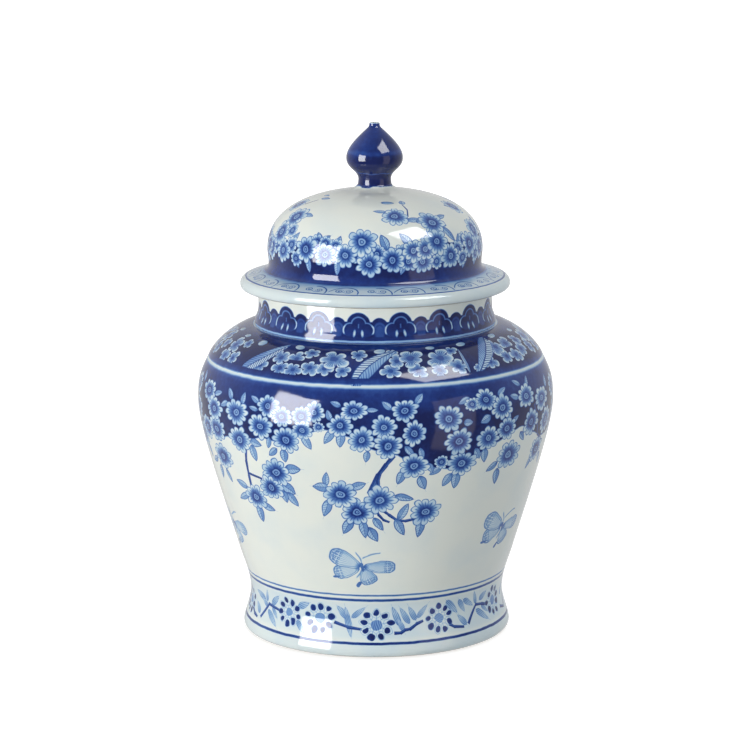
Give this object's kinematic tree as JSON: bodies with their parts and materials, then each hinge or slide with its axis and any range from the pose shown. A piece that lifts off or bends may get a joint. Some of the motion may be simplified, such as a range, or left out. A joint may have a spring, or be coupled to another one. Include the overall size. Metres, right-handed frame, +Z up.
{
  "type": "ginger jar",
  "caption": "Round porcelain ginger jar on a splayed foot, with a domed lift-off lid, a bud knob and painted blue decoration.",
  "frame": {"origin": "on the turning axis, in the plane that the foot ring rests on", "axes": "+Z up along the turning axis, which is also the way the lid lifts; +X to the right and -Y towards the viewer"},
  "size_m": [0.2, 0.2, 0.2871],
  "materials": {
    "painted_porcelain": "glossy clear glaze over cobalt painting",
    "cobalt_porcelain": "glossy cobalt blue glaze",
    "bare_clay": "unglazed, matt"
  },
  "bodies": {
    "jar": {"foot_ring": "bare_clay", "jar_foot": "painted_porcelain", "jar_belly": "painted_porcelain", "jar_shoulder": "painted_porcelain", "jar_neck": "painted_porcelain"},
    "lid": {"lid_shell": "painted_porcelain", "lid_locating_ring": "bare_clay", "lid_knob": "cobalt_porcelain"}
  },
  "joints": [
    {"name": "lid_lift", "type": "slide", "parent": "jar", "child": "lid", "axis": [0, 0, 1], "range_m": [0, 0.1]}
  ]
}
